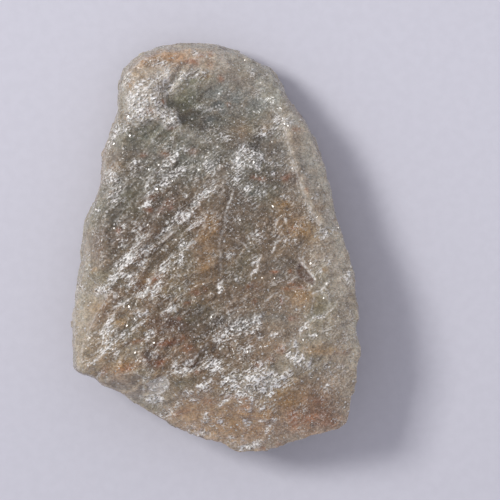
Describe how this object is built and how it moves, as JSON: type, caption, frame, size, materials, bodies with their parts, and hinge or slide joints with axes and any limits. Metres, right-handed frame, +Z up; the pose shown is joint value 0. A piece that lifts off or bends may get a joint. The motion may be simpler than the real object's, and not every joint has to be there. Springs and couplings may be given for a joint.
{
  "type": "rough aventurine stone",
  "caption": "Rough piece of mica-bearing aventurine quartz: a thick wedge with a stepped, ribbed broken face, lying on a small flat spot.",
  "frame": {"origin": "on the resting surface, under the middle of the stone's box", "axes": "+X across the stone, +Y along it towards the thin end, +Z up from the resting surface"},
  "size_m": [0.0354, 0.05, 0.014],
  "materials": {
    "aventurine": "waxy, slightly translucent grey-green to tan quartz with bright mica flakes and rusty stains"
  },
  "bodies": {
    "root": {"aventurine_stone": "aventurine"}
  },
  "joints": []
}
